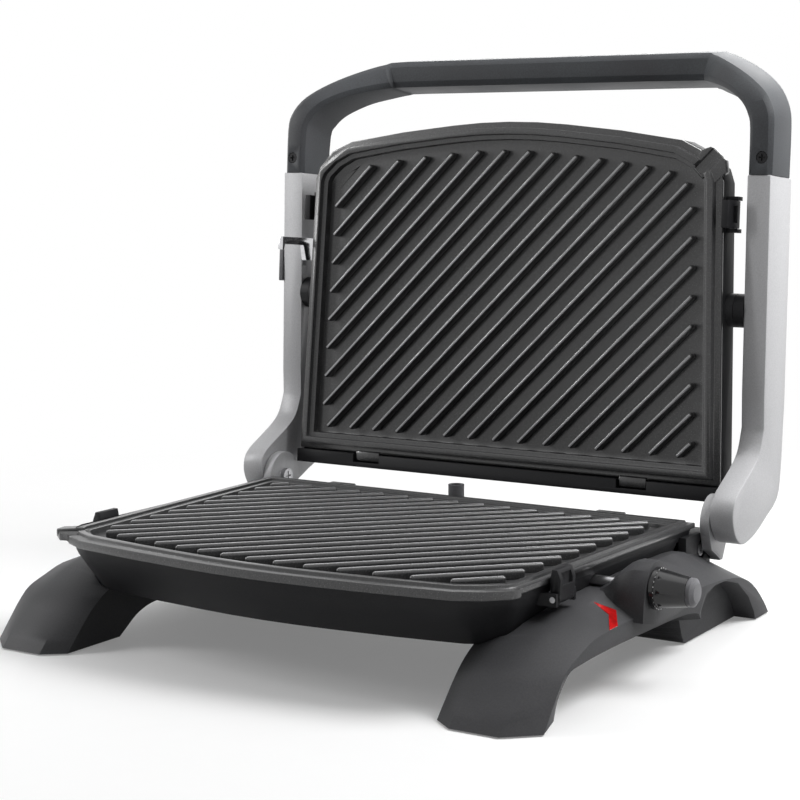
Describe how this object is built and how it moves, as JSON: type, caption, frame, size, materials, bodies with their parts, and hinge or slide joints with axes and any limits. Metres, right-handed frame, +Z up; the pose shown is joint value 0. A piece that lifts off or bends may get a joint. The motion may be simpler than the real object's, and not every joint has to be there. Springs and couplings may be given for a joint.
{
  "type": "electric contact grill",
  "caption": "Worktop contact grill with ribbed plates, a hinged lid on side arms with a bowed handle, a floating lid head and a heat knob on one arched leg.",
  "frame": {"origin": "middle of the grill's box, on the worktop, with the lid open", "axes": "+Z up, +Y from the front to the hinge, +X to the knob's side along the hinge"},
  "size_m": [0.3765, 0.3572, 0.3328],
  "materials": {
    "black_plastic": "satin",
    "leg_plastic": "satin",
    "nonstick_aluminium": "non-stick coating, speckled",
    "silver_paint": "satin",
    "steel": "plain",
    "heater_sheath": "oxidised",
    "ceramic": "unglazed",
    "rubber": "matt",
    "red_lens": "clear red",
    "grey_plastic": "satin",
    "lamp_glass": "clear"
  },
  "bodies": {
    "base": {"base_housing": "black_plastic", "left_leg": "leg_plastic", "right_leg": "leg_plastic", "rubber_feet": "rubber", "leg_screws": "steel", "hinge_bracket_left": "silver_paint", "hinge_bracket_right": "silver_paint", "bracket_screws": "steel", "side_screws": "steel", "hinge_pins": "steel", "lower_heat_shield": "steel", "lower_heater": "heater_sheath", "heater_posts": "steel", "thermostat_body": "ceramic", "terminal_block": "ceramic", "thermal_fuse": "steel", "pilot_lamp": "lamp_glass", "indicator_lens": "red_lens", "cord_gland": "black_plastic", "wire_conduit": "grey_plastic", "lock_peg": "steel", "lower_latch_pins": "steel", "lower_latch_springs": "steel"},
    "low_latch_l": {"lower_latch_left": "black_plastic"},
    "low_latch_r": {"lower_latch_right": "black_plastic"},
    "knob": {"thermostat_shaft": "steel", "control_knob": "black_plastic", "knob_cap": "grey_plastic"},
    "low_plate": {"lower_plate": "nonstick_aluminium"},
    "up_plate": {"upper_plate": "nonstick_aluminium"},
    "lid_arms": {"arm_left": "silver_paint", "arm_right": "silver_paint", "handle": "black_plastic", "handle_screws": "steel", "hinge_washers": "black_plastic", "head_pivot_pins": "steel"},
    "lid_lock": {"lock_slider": "steel"},
    "lid_head": {"lid_pan": "black_plastic", "lid_cover": "black_plastic", "cover_screws": "steel", "upper_heat_shield": "steel", "upper_heater": "heater_sheath", "lid_terminal": "ceramic", "upper_latch_pins": "steel", "upper_latch_springs": "steel"},
    "up_latch_l": {"upper_latch_left": "black_plastic"},
    "up_latch_r": {"upper_latch_right": "black_plastic"}
  },
  "joints": [
    {"name": "lid_hinge", "type": "hinge", "parent": "base", "child": "lid_arms", "pos_m": [0, 0.07552, 0.059], "axis": [-1, 0, 0], "range_deg": [-94, 0]},
    {"name": "head_pivot", "type": "hinge", "parent": "lid_arms", "child": "lid_head", "pos_m": [0, 0.11349, 0.17764], "axis": [1, 0, 0], "range_deg": [0, 12]},
    {"name": "lower_plate_lift", "type": "slide", "parent": "base", "child": "low_plate", "axis": [0, -0.7071, 0.7071], "range_m": [0, 0.08]},
    {"name": "upper_plate_lift", "type": "slide", "parent": "lid_head", "child": "up_plate", "axis": [0, -0.9976, 0.0698], "range_m": [0, 0.05]},
    {"name": "lower_latch_left_turn", "type": "hinge", "parent": "base", "child": "low_latch_l", "pos_m": [-0.16055, -0.10148, 0.0505], "axis": [0, -1, 0], "range_deg": [0, 10], "stiffness_Nm_per_rad": 0.1, "springref_deg": -17.19},
    {"name": "lower_latch_right_turn", "type": "hinge", "parent": "base", "child": "low_latch_r", "pos_m": [0.13605, -0.10148, 0.0505], "axis": [0, 1, 0], "range_deg": [0, 10], "stiffness_Nm_per_rad": 0.1, "springref_deg": -17.19},
    {"name": "upper_latch_left_turn", "type": "hinge", "parent": "lid_head", "child": "up_latch_l", "pos_m": [-0.16055, 0.1143, 0.23372], "axis": [0, -0.0698, -0.9976], "range_deg": [0, 10], "stiffness_Nm_per_rad": 0.1, "springref_deg": -17.19},
    {"name": "upper_latch_right_turn", "type": "hinge", "parent": "lid_head", "child": "up_latch_r", "pos_m": [0.13605, 0.1143, 0.23372], "axis": [0, 0.0698, 0.9976], "range_deg": [0, 10], "stiffness_Nm_per_rad": 0.1, "springref_deg": -17.19},
    {"name": "knob_turn", "type": "hinge", "parent": "base", "child": "knob", "pos_m": [0.17675, -0.05448, 0.0485], "axis": [1, 0, 0], "range_deg": [0, 270]},
    {"name": "lid_lock_slide", "type": "slide", "parent": "lid_arms", "child": "lid_lock", "axis": [0, -0.0698, -0.9976], "range_m": [0, 0.005]}
  ]
}
